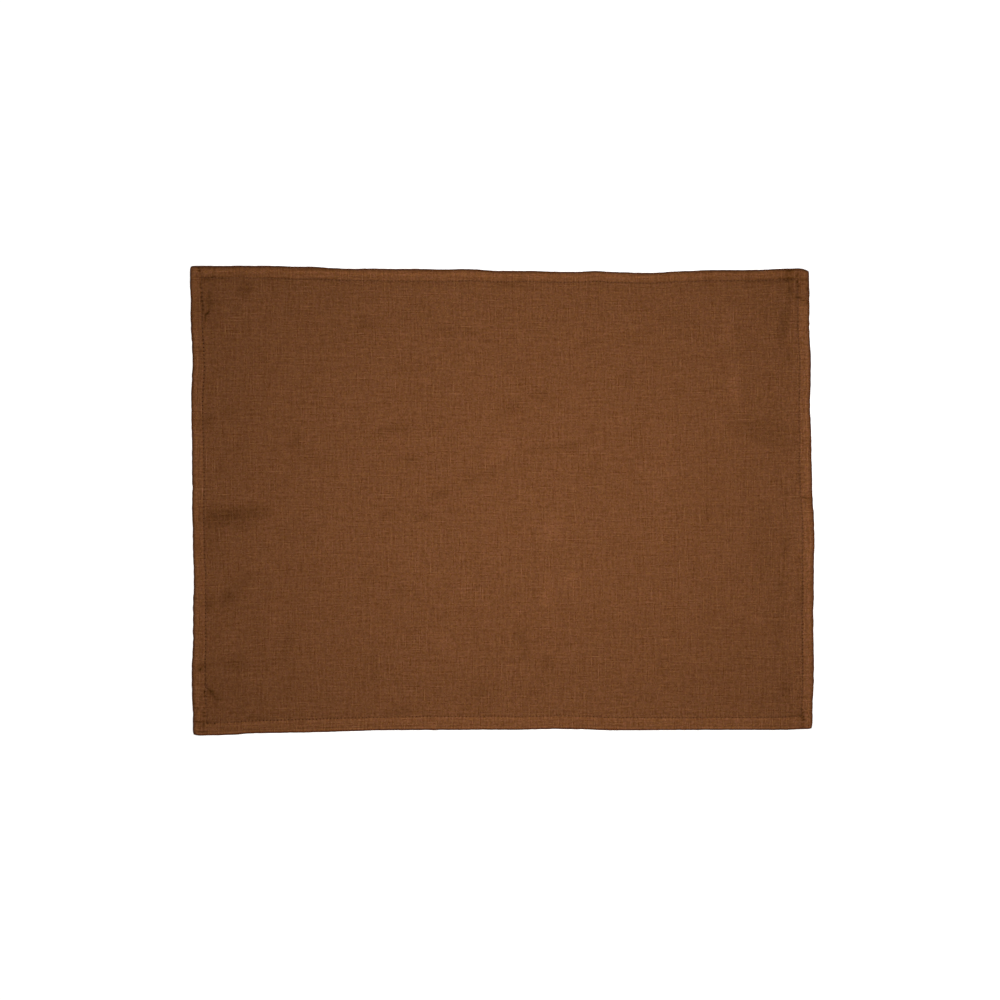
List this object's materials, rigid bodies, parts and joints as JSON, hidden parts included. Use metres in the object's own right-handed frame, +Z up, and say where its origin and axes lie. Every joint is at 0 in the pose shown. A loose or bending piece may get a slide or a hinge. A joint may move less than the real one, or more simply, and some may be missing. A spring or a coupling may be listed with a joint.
{
  "type": "fabric placemat",
  "caption": "Rectangular plain-woven linen placemat lying flat, its edges turned under into a narrow topstitched hem.",
  "frame": {"origin": "middle of the box around the panel, at the height of the surface that it lies on", "axes": "+X along the long side, +Y along the short side, +Z up out of the right side of the cloth"},
  "size_m": [0.4834, 0.3638, 0.0027],
  "materials": {
    "linen": "matt plain weave, brown"
  },
  "bodies": {
    "root": {"placemat": "linen"}
  },
  "joints": []
}
